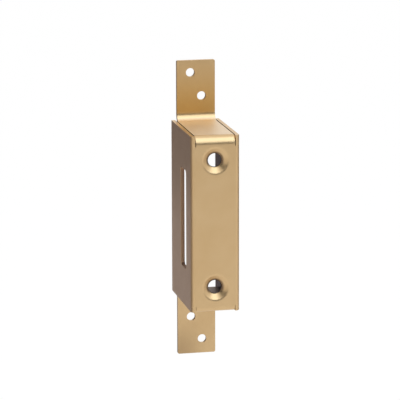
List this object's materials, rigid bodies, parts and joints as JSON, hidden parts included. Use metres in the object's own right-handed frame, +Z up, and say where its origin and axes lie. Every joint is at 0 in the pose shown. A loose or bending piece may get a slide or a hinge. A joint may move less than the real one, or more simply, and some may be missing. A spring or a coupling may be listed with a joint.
{
  "type": "door strike plate",
  "caption": "Folded sheet box keep: narrow front plate with pressed countersinks, closed sides, a bolt slot in one wall, open back and drilled flanges above and below.",
  "frame": {"origin": "on the outer face of the front plate, midway between the two countersunk screw holes", "axes": "+Z up along the plate's length, +Y from the front plate to the door frame that the flanges lie on, +X to the right as seen from the front, away from the slotted wall"},
  "size_m": [0.025, 0.048, 0.155],
  "materials": {
    "gold_finish": "satin bronze-gold metallic coat on steel sheet"
  },
  "bodies": {
    "root": {"strike_plate": "gold_finish"}
  },
  "joints": []
}
